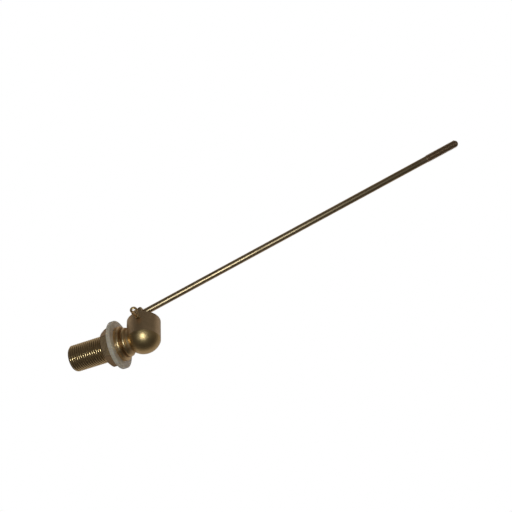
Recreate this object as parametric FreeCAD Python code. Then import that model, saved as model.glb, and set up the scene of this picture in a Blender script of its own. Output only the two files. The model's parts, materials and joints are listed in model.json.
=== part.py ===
import FreeCAD, Part
import math
import os

# Brass float valve for a water tank, in millimetres.
# The origin is the centre of the inlet's end face. +X runs along the inlet axis into the valve,
# +Z points up through the dome, and +Y points to the side where the split pin's eye stands out.
# The lever hangs in its resting position, with the float rod drooping below the horizontal.

# Inlet tail: a parallel pipe thread of the half-inch size
TAIL_LENGTH = 40.4
THREAD_PITCH = 1.814
THREAD_CREST_RADIUS = 10.42
THREAD_ROOT_RADIUS = 9.26
THREAD_FLAT = 0.3
THREAD_CREST_RISE = 0.3
TAIL_CHAMFER = 1.45
TAIL_CHAMFER_LENGTH = 1.05
TAIL_RELIEF_LENGTH = 2.2
INLET_RADIUS = 6.5
INLET_DEPTH = 41.5
INLET_LEAD = 0.5

# Flange and neck
FLANGE_RADIUS = 13.5
FLANGE_THICKNESS = 3.8
FLANGE_ROUND = 1.5
FLANGE_BACK_EDGE = 0.3
GROOVE_RADIUS = 10.6
GROOVE_FILLET = 0.7
BEAD_RADIUS = 11.25
BEAD_OFFSET = 6.1
BEAD_FALL_LENGTH = 1.3
BEAD_END_RADIUS = 10.5
NECK_OFFSET = 8.4
NECK_RADIUS = 9.4
NECK_BORE_RADIUS = 4.55
NECK_OVERLAP = 1.0

# Bell: an upright cylinder, open underneath and closed by a slightly flatter dome
BELL_OFFSET = 19.0
BELL_RADIUS = 12.95
DOME_RADIUS = 13.55
DOME_EDGE_Z = 3.2
BELL_WALL = 2.5
BELL_MOUTH_Z = -15.35
BELL_OUTER_CHAMFER = 0.8
BELL_INNER_CHAMFER = 0.5

# Lever pivot, which the split pin makes across the bell
PIVOT_OFFSET = 1.6
PIVOT_Z = -8.8
PIN_RADIUS = 1.45
PIN_HOLE_RADIUS = 1.55
LEVER_BORE_RADIUS = 1.53

# Backnut and washer
WASHER_RADIUS = 18.7
WASHER_BORE_RADIUS = 10.75
WASHER_THICKNESS = 3.2
WASHER_ROUND = 0.4
NUT_ACROSS_FLATS = 26.5
NUT_THICKNESS = 7.7
NUT_BORE_RADIUS = 10.6
NUT_TURN = 1.7
NUT_CORNER_DROP = 1.1
NUT_FACE_INSET = 0.15
NUT_BORE_CHAMFER = 0.5
FACE_GAP = 0.02

# Seat nozzle and its seal
NOZZLE_BARREL_RADIUS = 4.5
NOZZLE_HEAD_RADIUS = 6.35
NOZZLE_HEAD_LENGTH = 2.2
NOZZLE_SEAT_OFFSET = 11.0
NOZZLE_SEAT_RADIUS = 2.9
NOZZLE_SEAT_EDGE = 0.3
NOZZLE_TAPER_LENGTH = 1.6
NOZZLE_ORIFICE_RADIUS = 2.0
NOZZLE_ORIFICE_LENGTH = 3.0
NOZZLE_THROAT_RADIUS = 3.4
NOZZLE_THROAT_LENGTH = 6.0
NOZZLE_MOUTH_RADIUS = 4.0
SEAL_RADIUS = 0.95
SEAL_RING_RADIUS = 5.5
SEAL_GAP = 0.02
SEAL_SPACE = 0.05

# Lever, sized in its closed position with the rod level
ROD_DROOP = 14.84
ROD_DROP = 15.34
HUB_RADIUS = 3.3
HUB_WIDTH = 17.0
ARM_WIDTH = 8.0
ARM_FOOT_X = 2.6
ARM_FOOT_Z = 2.0
ARM_SHOULDER_Z = 4.0
ARM_TOP_RISE = 4.2
ARM_BACK_THICKNESS = 1.8
ARM_CUP_OVERLAP = 0.6
LEG_WIDTH = 7.0
LEG_TOP_X = 3.2
LEG_TOP_Z = 0.5
LEG_WAIST_Z = -9.0
LEG_WAIST_INSET = 0.9
LEG_FOOT_INSET = 0.3
LEG_BACK_INSET = 0.1
BOSS_RADIUS = 5.25
BOSS_LEFT = -6.2
BOSS_RIGHT = -0.6
BOSS_CHAMFER = 0.6
CUP_RADIUS = 5.2
CUP_THICKNESS = 2.8
DISC_RADIUS = 4.2
DISC_THICKNESS = 3.0
DISC_STAND = 1.4
DISC_EDGE = 0.3
DISC_SEAT_GAP = 0.02
DISC_CUP_GAP = 0.03
DISC_BACK_GAP = 0.01

# Float rod with a metric 6 mm thread at each end
ROD_RADIUS = 2.53
ROD_REACH = 279.1
ROD_CREST_RADIUS = 2.97
ROD_ROOT_RADIUS = 2.36
ROD_PITCH = 1.0
ROD_FLAT = 0.125
ROD_TIP_RISE = 0.8
ROD_OUTER_RIDGES = 27
ROD_INNER_RIDGES = 11
ROD_INNER_END = -6.6
ROD_INNER_LEAD = 1.2
ROD_INNER_CHAMFER = 0.3
ROD_INNER_CHAMFER_LENGTH = 0.4
ROD_BORE_RADIUS = 3.02
LOCK_NUT_ACROSS_FLATS = 10.0
LOCK_NUT_THICKNESS = 3.1
LOCK_NUT_CORNER_DROP = 0.5
LOCK_NUT_TURN = 30.0

# Split pin
PIN_SLIT = 0.1
PIN_WIRE_RADIUS = 0.72
PIN_WIRE_SINK = 0.04
PIN_WALL_GAP = 0.3
PIN_WIRE_START = 1.5
PIN_WAIST = 0.4
PIN_EYE_RADIUS = 2.5
PIN_EYE_CENTRE = (-0.75, 19.05, -12.0)
PIN_EYE_NORMAL = (0.387, 0.462, 0.798)
PIN_EYE_SWEEP = 260.0
PIN_EYE_POINTS = 9
PIN_TAIL_SPREAD = 35.0
PIN_TAIL_LENGTH = 5.0

ALONG_X = FreeCAD.Vector(1, 0, 0)
ALONG_Y = FreeCAD.Vector(0, 1, 0)
ALONG_Z = FreeCAD.Vector(0, 0, 1)
ORIGIN = FreeCAD.Vector(0, 0, 0)

# How far a cutting shape runs past the face it cuts through
OVERCUT = 1.0

BELL_X = TAIL_LENGTH + BELL_OFFSET
BELL_INNER_RADIUS = BELL_RADIUS - BELL_WALL
PIVOT = FreeCAD.Vector(BELL_X + PIVOT_OFFSET, 0, PIVOT_Z)
SEAT_X = TAIL_LENGTH + NOZZLE_SEAT_OFFSET
NUT_RIGHT_X = TAIL_LENGTH - WASHER_THICKNESS - 2 * FACE_GAP
NUT_LEFT_X = NUT_RIGHT_X - NUT_THICKNESS


def turned(start, steps):
    """A solid of revolution about the X axis from (x, radius) points.

    A step is a point, reached by a straight line, or a pair of points: an arc through the
    first one to the second one. The outline closes on its start.
    """
    edges = []
    here = start
    for step in list(steps) + [start]:
        bent = isinstance(step[0], tuple)
        end = step[1] if bent else step
        a = FreeCAD.Vector(here[0], 0, here[1])
        b = FreeCAD.Vector(end[0], 0, end[1])
        if bent:
            middle = FreeCAD.Vector(step[0][0], 0, step[0][1])
            edges.append(Part.Arc(a, middle, b).toShape())
        else:
            edges.append(Part.makeLine(a, b))
        here = end
    return Part.Face(Part.Wire(edges)).revolve(ORIGIN, ALONG_X, 360)


def corner_arc(x, radius, size, turn):
    """Middle point of a quarter round whose outer corner would be at (x, radius)."""
    inset = size * (1 - math.sqrt(0.5))
    return (x + turn[0] * inset, radius + turn[1] * inset)


def ridge(centre, root, crest, pitch, flat, round_crest):
    """Outline steps over one thread ridge, from its left root to its right root."""
    half_root = pitch / 2 - flat / 2
    rise = THREAD_CREST_RISE * flat
    if not round_crest:
        return [
            (centre - half_root, root),
            (centre - flat / 2, crest),
            (centre + flat / 2, crest),
            (centre + half_root, root),
        ]
    return [
        (centre - half_root, root),
        (centre - flat / 2, crest - rise),
        ((centre, crest), (centre + flat / 2, crest - rise)),
        (centre + half_root, root),
    ]


def hexagon(across_flats, left_x, right_x, turn):
    """A hexagonal prism along X, with one corner turned from +Y towards +Z."""
    corner_radius = across_flats / math.sqrt(3)
    corners = []
    for k in range(7):
        angle = math.radians(turn + 60 * k)
        y = corner_radius * math.cos(angle)
        z = corner_radius * math.sin(angle)
        corners.append(FreeCAD.Vector(left_x, y, z))
    return Part.Face(Part.makePolygon(corners)).extrude(ALONG_X * (right_x - left_x))


def chamfered_nut(across_flats, bore_radius, left_x, right_x, turn, corner_drop):
    """A nut along X with its corners turned down at both faces and a plain clearance bore."""
    corner_radius = across_flats / math.sqrt(3)
    face_radius = across_flats / 2 - NUT_FACE_INSET
    mouth_radius = bore_radius + NUT_BORE_CHAMFER
    envelope = turned(
        (left_x, mouth_radius),
        [
            (left_x, face_radius),
            (left_x + corner_drop, corner_radius),
            (right_x - corner_drop, corner_radius),
            (right_x, face_radius),
            (right_x, mouth_radius),
            (right_x - NUT_BORE_CHAMFER, bore_radius),
            (left_x + NUT_BORE_CHAMFER, bore_radius),
        ],
    )
    return hexagon(across_flats, left_x, right_x, turn).common(envelope)


def prism_across(points, width):
    """A prism centred on the XZ plane from (x, z) points."""
    corners = [FreeCAD.Vector(x, -width / 2, z) for x, z in points]
    face = Part.Face(Part.makePolygon(corners + [corners[0]]))
    return face.extrude(ALONG_Y * width)


def tail_blank():
    """The ridged tail. The ridges that the nut and washer cover have rounded crests."""
    ridges = int((TAIL_LENGTH - TAIL_RELIEF_LENGTH) / THREAD_PITCH)
    first = TAIL_LENGTH - TAIL_RELIEF_LENGTH - (ridges - 0.5) * THREAD_PITCH
    steps = [
        (0, THREAD_CREST_RADIUS - TAIL_CHAMFER),
        (TAIL_CHAMFER_LENGTH, THREAD_ROOT_RADIUS),
    ]
    for k in range(ridges):
        centre = first + k * THREAD_PITCH
        if centre < TAIL_CHAMFER + THREAD_PITCH / 2:
            continue
        covered = centre + THREAD_FLAT > NUT_LEFT_X
        steps += ridge(
            centre, THREAD_ROOT_RADIUS, THREAD_CREST_RADIUS, THREAD_PITCH, THREAD_FLAT, covered
        )
    steps += [(TAIL_LENGTH, THREAD_ROOT_RADIUS), (TAIL_LENGTH, 0)]
    return turned((0, 0), steps)


def flange_and_neck():
    """Flange with a rounded rim, a groove, a rounded bead and the neck that enters the bell."""
    rim = TAIL_LENGTH + FLANGE_THICKNESS
    bead = TAIL_LENGTH + BEAD_OFFSET
    neck = TAIL_LENGTH + NECK_OFFSET
    neck_end = BELL_X - BELL_INNER_RADIUS + NECK_OVERLAP
    return turned(
        (TAIL_LENGTH, 0),
        [
            (TAIL_LENGTH, FLANGE_RADIUS - FLANGE_BACK_EDGE),
            (TAIL_LENGTH + FLANGE_BACK_EDGE, FLANGE_RADIUS),
            (rim - FLANGE_ROUND, FLANGE_RADIUS),
            (
                corner_arc(rim, FLANGE_RADIUS, FLANGE_ROUND, (-1, -1)),
                (rim, FLANGE_RADIUS - FLANGE_ROUND),
            ),
            (rim, GROOVE_RADIUS + GROOVE_FILLET),
            (
                corner_arc(rim, GROOVE_RADIUS, GROOVE_FILLET, (1, 1)),
                (rim + GROOVE_FILLET, GROOVE_RADIUS),
            ),
            ((bead, BEAD_RADIUS), (bead + BEAD_FALL_LENGTH, BEAD_END_RADIUS)),
            (neck, NECK_RADIUS),
            (neck_end, NECK_RADIUS),
            (neck_end, 0),
        ],
    )


def upright_bell(radius, mouth_z, dome_radius, edge_z):
    """A cylinder about the bell's axis from mouth_z up to edge_z, closed by a dome there."""
    foot = FreeCAD.Vector(BELL_X, 0, mouth_z)
    barrel = Part.makeCylinder(radius, edge_z - mouth_z, foot, ALONG_Z)
    dome_centre = FreeCAD.Vector(BELL_X, 0, edge_z - math.sqrt(dome_radius**2 - radius**2))
    dome = Part.makeSphere(dome_radius, dome_centre)
    above = Part.makeCylinder(radius, dome_radius, FreeCAD.Vector(BELL_X, 0, edge_z), ALONG_Z)
    return barrel.fuse(dome.common(above)).removeSplitter()


def mouth_cone(radius, depth, widening):
    """A short cone on the bell's axis that starts below the mouth and ends depth above it."""
    below = FreeCAD.Vector(BELL_X, 0, BELL_MOUTH_Z - depth)
    wide = radius + 2 * widening
    return Part.makeCone(wide, radius, 2 * depth, below, ALONG_Z)


def valve_body():
    """Tail, flange, neck and bell in one brass casting, with the waterway and the pin holes."""
    bell = upright_bell(BELL_RADIUS, BELL_MOUTH_Z, DOME_RADIUS, DOME_EDGE_Z)
    size = BELL_OUTER_CHAMFER
    foot = FreeCAD.Vector(BELL_X, 0, BELL_MOUTH_Z)
    band = Part.makeCylinder(BELL_RADIUS + OVERCUT, size, foot, ALONG_Z)
    taper = Part.makeCone(BELL_RADIUS - size, BELL_RADIUS, size, foot, ALONG_Z)
    bell = bell.cut(band.cut(taper))
    body = flange_and_neck().fuse(bell).fuse(tail_blank())
    cavity = upright_bell(
        BELL_INNER_RADIUS, BELL_MOUTH_Z - OVERCUT, BELL_INNER_RADIUS, 0
    )
    lead = mouth_cone(BELL_INNER_RADIUS, BELL_INNER_CHAMFER, BELL_INNER_CHAMFER)
    inlet = turned(
        (-OVERCUT, 0),
        [
            (-OVERCUT, INLET_RADIUS + INLET_LEAD + OVERCUT),
            (INLET_LEAD, INLET_RADIUS),
            (INLET_DEPTH, INLET_RADIUS),
            (INLET_DEPTH, NECK_BORE_RADIUS),
            (BELL_X, NECK_BORE_RADIUS),
            (BELL_X, 0),
        ],
    )
    reach = BELL_RADIUS + OVERCUT
    side = FreeCAD.Vector(PIVOT.x, -reach, PIVOT_Z)
    pin_holes = Part.makeCylinder(PIN_HOLE_RADIUS, 2 * reach, side, ALONG_Y)
    return body.cut(cavity).cut(lead).cut(inlet).cut(pin_holes)


def backnut():
    """Cast hexagonal nut that clamps the tank wall, with a bore that clears the crests."""
    return chamfered_nut(
        NUT_ACROSS_FLATS, NUT_BORE_RADIUS, NUT_LEFT_X, NUT_RIGHT_X, NUT_TURN, NUT_CORNER_DROP
    )


def tank_washer():
    """Flat plastic washer between the nut and the flange, with its outer edges rounded."""
    left = NUT_RIGHT_X + FACE_GAP
    right = left + WASHER_THICKNESS
    round_off = WASHER_ROUND
    return turned(
        (left, WASHER_BORE_RADIUS),
        [
            (left, WASHER_RADIUS - round_off),
            (
                corner_arc(left, WASHER_RADIUS, round_off, (1, -1)),
                (left + round_off, WASHER_RADIUS),
            ),
            (right - round_off, WASHER_RADIUS),
            (
                corner_arc(right, WASHER_RADIUS, round_off, (-1, -1)),
                (right, WASHER_RADIUS - round_off),
            ),
            (right, WASHER_BORE_RADIUS),
        ],
    )


def seat_nozzle():
    """Stepped nozzle pushed in from the inlet, with its seat standing inside the bell."""
    head_right = INLET_DEPTH - 2 * SEAL_RADIUS - SEAL_SPACE
    head_left = head_right - NOZZLE_HEAD_LENGTH
    return turned(
        (head_left, NOZZLE_MOUTH_RADIUS),
        [
            (head_left, NOZZLE_HEAD_RADIUS),
            (head_right, NOZZLE_HEAD_RADIUS),
            (head_right, NOZZLE_BARREL_RADIUS),
            (SEAT_X - NOZZLE_TAPER_LENGTH, NOZZLE_BARREL_RADIUS),
            (SEAT_X - NOZZLE_SEAT_EDGE, NOZZLE_SEAT_RADIUS),
            (SEAT_X, NOZZLE_SEAT_RADIUS - NOZZLE_SEAT_EDGE),
            (SEAT_X, NOZZLE_ORIFICE_RADIUS),
            (SEAT_X - NOZZLE_ORIFICE_LENGTH, NOZZLE_ORIFICE_RADIUS),
            (SEAT_X - NOZZLE_THROAT_LENGTH, NOZZLE_THROAT_RADIUS),
        ],
    )


def nozzle_seal():
    """Rubber ring between the nozzle's head and the shoulder in the body."""
    centre = FreeCAD.Vector(INLET_DEPTH - SEAL_RADIUS - SEAL_GAP, 0, 0)
    return Part.makeTorus(SEAL_RING_RADIUS, SEAL_RADIUS, centre, ALONG_X)


def hanging(shape):
    """Carries a lever piece, drawn closed about the pivot, to its drooping rest position."""
    shape.translate(PIVOT)
    shape.rotate(PIVOT, ALONG_Y, ROD_DROOP)
    return shape


def lever():
    """Bell-crank: a cup for the seat disc above the pivot, a leg and a rod boss below it."""
    disc_x = SEAT_X + DISC_SEAT_GAP - PIVOT.x
    cup_left = disc_x + DISC_STAND
    cup_right = cup_left + CUP_THICKNESS
    cup_z = -PIVOT_Z
    hub = Part.makeCylinder(
        HUB_RADIUS, HUB_WIDTH, FreeCAD.Vector(0, -HUB_WIDTH / 2, 0), ALONG_Y
    )
    cup = Part.makeCylinder(
        CUP_RADIUS, CUP_THICKNESS, FreeCAD.Vector(cup_left, 0, cup_z), ALONG_X
    )
    arm_front = cup_right - ARM_CUP_OVERLAP
    arm_top = cup_z + ARM_TOP_RISE
    arm = prism_across(
        [
            (-ARM_FOOT_X, -ARM_FOOT_Z),
            (arm_front, ARM_SHOULDER_Z),
            (arm_front, arm_top),
            (cup_right + ARM_BACK_THICKNESS, arm_top),
            (ARM_FOOT_X, ARM_FOOT_Z),
        ],
        ARM_WIDTH,
    )
    leg_back = BOSS_RIGHT - LEG_BACK_INSET
    leg = prism_across(
        [
            (-LEG_TOP_X, LEG_TOP_Z),
            (LEG_TOP_X, -LEG_TOP_Z),
            (leg_back, LEG_WAIST_Z),
            (leg_back, -ROD_DROP),
            (BOSS_LEFT + LEG_FOOT_INSET, -ROD_DROP),
            (BOSS_LEFT + LEG_WAIST_INSET, LEG_WAIST_Z),
        ],
        LEG_WIDTH,
    )
    boss = turned(
        (BOSS_LEFT, 0),
        [
            (BOSS_LEFT, BOSS_RADIUS - BOSS_CHAMFER),
            (BOSS_LEFT + BOSS_CHAMFER, BOSS_RADIUS),
            (BOSS_RIGHT - BOSS_CHAMFER, BOSS_RADIUS),
            (BOSS_RIGHT, BOSS_RADIUS - BOSS_CHAMFER),
            (BOSS_RIGHT, 0),
        ],
    )
    boss.translate(FreeCAD.Vector(0, 0, -ROD_DROP))
    shape = hub.fuse([arm, leg, boss, cup])
    bore_reach = HUB_WIDTH / 2 + OVERCUT
    bore = Part.makeCylinder(
        LEVER_BORE_RADIUS, 2 * bore_reach, FreeCAD.Vector(0, -bore_reach, 0), ALONG_Y
    )
    rod_hole = Part.makeCylinder(
        ROD_BORE_RADIUS,
        BOSS_RIGHT - BOSS_LEFT + 2 * OVERCUT,
        FreeCAD.Vector(BOSS_LEFT - OVERCUT, 0, -ROD_DROP),
        ALONG_X,
    )
    recess = Part.makeCylinder(
        DISC_RADIUS + DISC_CUP_GAP,
        DISC_THICKNESS - DISC_STAND,
        FreeCAD.Vector(cup_left, 0, cup_z),
        ALONG_X,
    )
    return hanging(shape.cut([bore, rod_hole, recess]))


def seat_disc():
    """Rubber disc held in the lever's cup, which closes the nozzle."""
    left = SEAT_X + DISC_SEAT_GAP - PIVOT.x
    right = left + DISC_THICKNESS - DISC_BACK_GAP
    disc = turned(
        (left, 0),
        [
            (left, DISC_RADIUS - DISC_EDGE),
            (left + DISC_EDGE, DISC_RADIUS),
            (right, DISC_RADIUS),
            (right, 0),
        ],
    )
    disc.translate(FreeCAD.Vector(0, 0, -PIVOT_Z))
    return hanging(disc)


def rod_thread(first, ridges, round_crest):
    """Outline steps over a run of the rod's thread ridges from the centre of the first one."""
    steps = []
    for k in range(ridges):
        centre = first + k * ROD_PITCH
        steps += ridge(
            centre, ROD_ROOT_RADIUS, ROD_CREST_RADIUS, ROD_PITCH, ROD_FLAT, round_crest
        )
    return steps


def float_rod():
    """Drawn rod with rolled threads at both ends, whose crests stand above the plain shank.

    The inner thread sits in the lever's boss and its crests are rounded.
    """
    inner_first = ROD_INNER_END + ROD_INNER_LEAD
    outer_last = ROD_REACH - ROD_TIP_RISE - ROD_PITCH / 2
    outer_first = outer_last - (ROD_OUTER_RIDGES - 1) * ROD_PITCH
    dome_start = ROD_REACH - ROD_TIP_RISE
    dome_radius = (ROD_ROOT_RADIUS**2 + ROD_TIP_RISE**2) / (2 * ROD_TIP_RISE)
    dome_centre = ROD_REACH - dome_radius
    half_way = math.asin(ROD_ROOT_RADIUS / dome_radius) / 2
    dome_middle = (
        dome_centre + dome_radius * math.cos(half_way),
        dome_radius * math.sin(half_way),
    )
    steps = [
        (ROD_INNER_END, ROD_ROOT_RADIUS - ROD_INNER_CHAMFER),
        (ROD_INNER_END + ROD_INNER_CHAMFER_LENGTH, ROD_ROOT_RADIUS),
    ]
    steps += rod_thread(inner_first, ROD_INNER_RIDGES, True)
    steps += [
        (inner_first + ROD_INNER_RIDGES * ROD_PITCH, ROD_RADIUS),
        (outer_first - ROD_PITCH, ROD_RADIUS),
    ]
    steps += rod_thread(outer_first, ROD_OUTER_RIDGES, False)
    steps += [(dome_start, ROD_ROOT_RADIUS), (dome_middle, (ROD_REACH, 0))]
    rod = turned((ROD_INNER_END, 0), steps)
    rod.translate(FreeCAD.Vector(0, 0, -ROD_DROP))
    return hanging(rod)


def lock_nut():
    """Thin nut that locks the rod against the lever's boss."""
    left = BOSS_RIGHT + FACE_GAP
    nut = chamfered_nut(
        LOCK_NUT_ACROSS_FLATS,
        ROD_BORE_RADIUS,
        left,
        left + LOCK_NUT_THICKNESS,
        LOCK_NUT_TURN,
        LOCK_NUT_CORNER_DROP,
    )
    nut.translate(FreeCAD.Vector(0, 0, -ROD_DROP))
    return hanging(nut)


def swept_wire(points):
    """Round wire along a smooth curve through the points."""
    curve = Part.BSplineCurve()
    curve.interpolate(points)
    spine = Part.Wire([curve.toShape()])
    start = curve.value(curve.FirstParameter)
    heading = curve.tangent(curve.FirstParameter)[0]
    section = Part.Wire([Part.makeCircle(PIN_WIRE_RADIUS, start, heading)])
    return spine.makePipeShell([section], True, False)


def pin_shank(wall, split_way):
    """The two half-round legs through the bell, parted by a thin slit."""
    reach = wall + OVERCUT
    shank = Part.makeCylinder(
        PIN_RADIUS, 2 * wall, FreeCAD.Vector(PIVOT.x, -wall, PIVOT_Z), ALONG_Y
    )
    slit = Part.makeBox(PIN_SLIT, 2 * reach, 4 * PIN_RADIUS)
    slit.translate(FreeCAD.Vector(-PIN_SLIT / 2, -reach, -2 * PIN_RADIUS))
    slit.rotate(ORIGIN, ALONG_Y, math.degrees(math.atan2(-split_way.z, split_way.x)))
    slit.translate(PIVOT)
    return shank.cut(slit)


def split_pin():
    """Split pin: two half-round legs through the bell, a bent eye, and the far ends spread."""
    wall = BELL_RADIUS + PIN_WALL_GAP
    offset = PIN_SLIT / 2 + PIN_WIRE_RADIUS - PIN_WIRE_SINK
    eye = FreeCAD.Vector(PIVOT.x + PIN_EYE_CENTRE[0], PIN_EYE_CENTRE[1], PIN_EYE_CENTRE[2])
    normal = FreeCAD.Vector(*PIN_EYE_NORMAL).normalize()
    exit_point = PIVOT + ALONG_Y * wall
    outward = (eye - exit_point).normalize()
    across = normal.cross(outward).normalize()
    split_way = FreeCAD.Vector(across.x, 0, across.z).normalize()
    ends = []
    for side in (1, -1):
        inside = PIVOT + ALONG_Y * (wall - PIN_WIRE_START) + split_way * (side * offset)
        waist = exit_point + split_way * (side * offset) + outward * PIN_WAIST
        ends.append([inside, waist])
    bend = []
    for k in range(PIN_EYE_POINTS):
        share = k / (PIN_EYE_POINTS - 1) - 0.5
        angle = math.radians(PIN_EYE_SWEEP * share)
        reach = outward * (PIN_EYE_RADIUS * math.cos(angle))
        bend.append(eye + reach - across * (PIN_EYE_RADIUS * math.sin(angle)))
    pieces = [swept_wire(ends[0] + bend + ends[1][::-1])]
    spread = math.radians(PIN_TAIL_SPREAD)
    for side in (1, -1):
        root = PIVOT - ALONG_Y * (wall - PIN_WIRE_START) + split_way * (side * offset)
        knee = PIVOT - ALONG_Y * (wall + PIN_WALL_GAP) + split_way * (side * offset)
        heading = split_way * (side * math.sin(spread)) - ALONG_Y * math.cos(spread)
        middle = knee + heading * (PIN_TAIL_LENGTH / 2)
        pieces.append(swept_wire([root, knee, middle, knee + heading * PIN_TAIL_LENGTH]))
    return pin_shank(wall, split_way).fuse(pieces)


SUBPARTS = {
    "valve_body": valve_body,
    "seat_nozzle": seat_nozzle,
    "nozzle_seal": nozzle_seal,
    "backnut": backnut,
    "tank_washer": tank_washer,
    "lever": lever,
    "seat_disc": seat_disc,
    "float_rod": float_rod,
    "lock_nut": lock_nut,
    "split_pin": split_pin,
}

os.makedirs("parts", exist_ok=True)
for name, build in SUBPARTS.items():
    build().exportStep("parts/" + name + ".step")
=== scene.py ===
import json
import math

import bmesh
import bpy
import numpy as np
from mathutils import Matrix, Vector, noise


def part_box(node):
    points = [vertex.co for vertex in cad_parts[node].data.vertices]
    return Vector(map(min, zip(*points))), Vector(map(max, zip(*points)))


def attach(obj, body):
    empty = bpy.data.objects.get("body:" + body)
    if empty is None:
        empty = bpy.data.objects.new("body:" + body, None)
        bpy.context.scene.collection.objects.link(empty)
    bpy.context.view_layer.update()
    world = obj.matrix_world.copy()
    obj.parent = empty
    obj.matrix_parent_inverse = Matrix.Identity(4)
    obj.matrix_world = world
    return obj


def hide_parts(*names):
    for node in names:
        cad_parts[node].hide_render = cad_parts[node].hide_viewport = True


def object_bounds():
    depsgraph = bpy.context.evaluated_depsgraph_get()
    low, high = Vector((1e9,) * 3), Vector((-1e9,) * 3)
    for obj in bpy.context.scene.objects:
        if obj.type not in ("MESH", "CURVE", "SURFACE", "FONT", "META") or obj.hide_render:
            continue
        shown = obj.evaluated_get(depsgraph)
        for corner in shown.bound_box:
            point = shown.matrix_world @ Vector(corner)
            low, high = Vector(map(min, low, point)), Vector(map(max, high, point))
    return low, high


# Looks of the brass float valve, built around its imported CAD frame. Every visible piece stands
# for a CAD node and rides on that node's body. The inlet axis is X, the dome points up along Z.
# Shapes are worked out in millimetres and turned into metres when a mesh is made.
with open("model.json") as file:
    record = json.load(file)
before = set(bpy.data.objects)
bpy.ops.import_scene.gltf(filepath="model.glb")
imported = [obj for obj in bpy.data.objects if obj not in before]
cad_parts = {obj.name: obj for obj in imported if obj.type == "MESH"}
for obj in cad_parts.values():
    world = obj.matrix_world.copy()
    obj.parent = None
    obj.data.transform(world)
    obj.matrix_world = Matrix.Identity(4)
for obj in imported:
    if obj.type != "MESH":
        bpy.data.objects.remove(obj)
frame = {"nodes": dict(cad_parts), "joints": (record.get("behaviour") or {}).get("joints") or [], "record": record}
cad_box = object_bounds()
MM = 0.001

# ---------------------------------------------------------------- sizes from the frame
JOINTS = {j["name"]: j for j in frame["joints"]}
MOUNTS = {m["name"]: m for m in frame["record"]["mounts"]}
PIVOT = np.array(JOINTS["lever_pivot"]["pos_m"]) / MM
PITCH = frame["record"]["behaviour"]["couplings"][0]["ratio"] * 2 * math.pi / MM
ROD_AXIS = np.array(MOUNTS["float_thread"]["axis"])
ROD_POINT = np.array(MOUNTS["float_thread"]["pos_m"]) / MM
DROOP = math.atan2(-ROD_AXIS[2], ROD_AXIS[0])
# distance along the rod from the point below the pivot to the middle of the float thread
ROD_FOOT_DISTANCE = float((ROD_POINT - PIVOT) @ ROD_AXIS)
THREAD_CREST = MOUNTS["inlet_thread"]["dims"]["r_mm"]
ROD_CREST = MOUNTS["float_thread"]["dims"]["r_mm"]


def box_mm(node):
    """Lowest and highest corner of a CAD node in millimetres."""
    low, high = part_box(node)
    return np.array(low) / MM, np.array(high) / MM


BODY_LOW, BODY_HIGH = box_mm("valve_body")
NUT_LOW, NUT_HIGH = box_mm("backnut")
WASHER_LOW, WASHER_HIGH = box_mm("tank_washer")
MOUTH_Z = BODY_LOW[2]
# the flange's back face, one hair's gap from the washer
SEAT_X = WASHER_HIGH[0] + 0.02

# ---------------------------------------------------------------- driving sizes, in millimetres
# outlines that close on the axis start and end at this radius
NEAR_AXIS = 0.5

# inlet tail: its thread, its chamfered end and the waterway
THREAD_ROOT = 9.75
THREAD_SHARES = (0.40, 0.20)
CREST_ROUND = 0.15
TAIL_END_RADIUS = 9.05
TAIL_END_SLOPE = 0.95
TAIL_START_X = 0.25
TAIL_RELIEF = 2.0
THREAD_FADE = 1.2
INLET_RADIUS = 6.5
INLET_DEPTH = 41.5

# flange, groove, bead and neck
FLANGE_RADIUS = 13.5
FLANGE_THICKNESS = 3.8
FLANGE_ROUND = 1.5
FLANGE_BACK_ROUND = 0.3
GROOVE_RADIUS = 10.6
GROOVE_FILLET = 0.25
BEAD_RADIUS = 11.25
BEAD_X = SEAT_X + 6.1
BEAD_FALL = 1.3
BEAD_END_RADIUS = 10.5
NECK_X = SEAT_X + 8.4
NECK_RADIUS = 9.4
NECK_LENGTH = 1.9
NECK_BORE_RADIUS = 4.55

# bell: an open barrel closed by a slightly flatter dome
BELL_RADIUS = 12.95
BELL_X = BODY_HIGH[0] - BELL_RADIUS
BELL_WALL = 2.5
BELL_CHAMFER = 0.8
BELL_LEAD = 1.5
DOME_RADIUS = 13.55
DOME_EDGE_Z = 3.2
DOME_CENTRE_Z = DOME_EDGE_Z - math.sqrt(DOME_RADIUS**2 - BELL_RADIUS**2)
PIN_HOLE_RADIUS = 1.55

# backnut
NUT_COLUMNS = 240
NUT_FLATS = 26.5
NUT_TURN = 1.7
NUT_CHAMFER = (2.0, 1.15)
NUT_ROOT = 10.62
NUT_CREST = THREAD_ROOT + 0.22
NUT_SHARES = (0.06, 0.34)
NUT_LEAD = 0.9
NUT_LEAD_DEPTH = 1.4
NUT_MOUTH_RADIUS = 11.0

# washer
WASHER_RADIUS = 18.67
WASHER_BORE = 10.9
WASHER_SOFT = 0.45
WASHER_BORE_SOFT = 0.15

# float rod: places along it are measured from the point below the pivot
ROD_LOW = -6.6
ROD_HIGH = ROD_FOOT_DISTANCE + 14.3
ROD_INNER_THREAD_END = 5.6
ROD_OUTER_THREAD_START = ROD_HIGH - 28.0
ROD_ROOT = 2.36
ROD_SHANK = 2.53
ROD_PITCH = 1.0
ROD_SHARES = (0.16, 0.12)
ROD_TIP_RISE = 1.45
ROD_END_SLOPE = 0.9

# lock nut, placed along the rod in the same way
LOCK_NUT_LOW = -0.58
LOCK_NUT_HIGH = 2.52
LOCK_NUT_BORE = 3.02
LOCK_NUT_FLATS = 10.0
LOCK_NUT_TURN = 30
LOCK_NUT_CHAMFER = (0.9, 0.5)

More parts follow.
